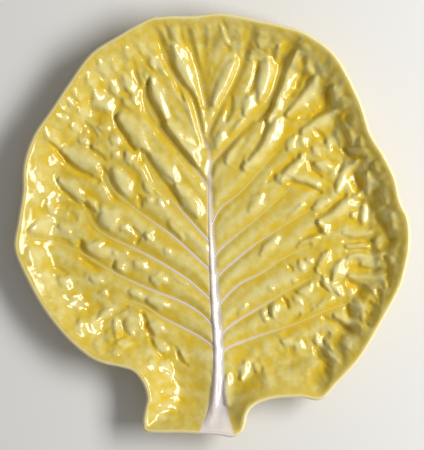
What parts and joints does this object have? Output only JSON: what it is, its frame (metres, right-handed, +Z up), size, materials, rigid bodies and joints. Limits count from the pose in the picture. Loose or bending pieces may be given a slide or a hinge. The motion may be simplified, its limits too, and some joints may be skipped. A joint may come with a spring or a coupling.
{
  "type": "chop plate",
  "caption": "Large shallow serving plate shaped as one cabbage leaf, with a raised midrib, side veins, blistered leaf surface, rounded lip and a foot ring.",
  "frame": {"origin": "middle of the plate's box in plan, on the plane that the foot ring stands on", "axes": "+Y from the end of the leaf's stem to its tip, +X to the right seen from above, +Z up"},
  "size_m": [0.3177, 0.3399, 0.0309],
  "materials": {
    "yellow_glaze": "clear glossy yellow glaze over cream earthenware, pooled golden in the hollows and thin and pale on the high points",
    "white_glaze": "glossy warm white glaze with a faint lilac tint",
    "foot_clay": "pale glaze wiped off the flat band that the plate stands on, bare cream clay there"
  },
  "bodies": {
    "root": {"leaf_blade": "yellow_glaze", "midrib": "white_glaze", "left_side_veins": "white_glaze", "right_side_veins": "white_glaze", "foot_ring": "foot_clay"}
  },
  "joints": []
}
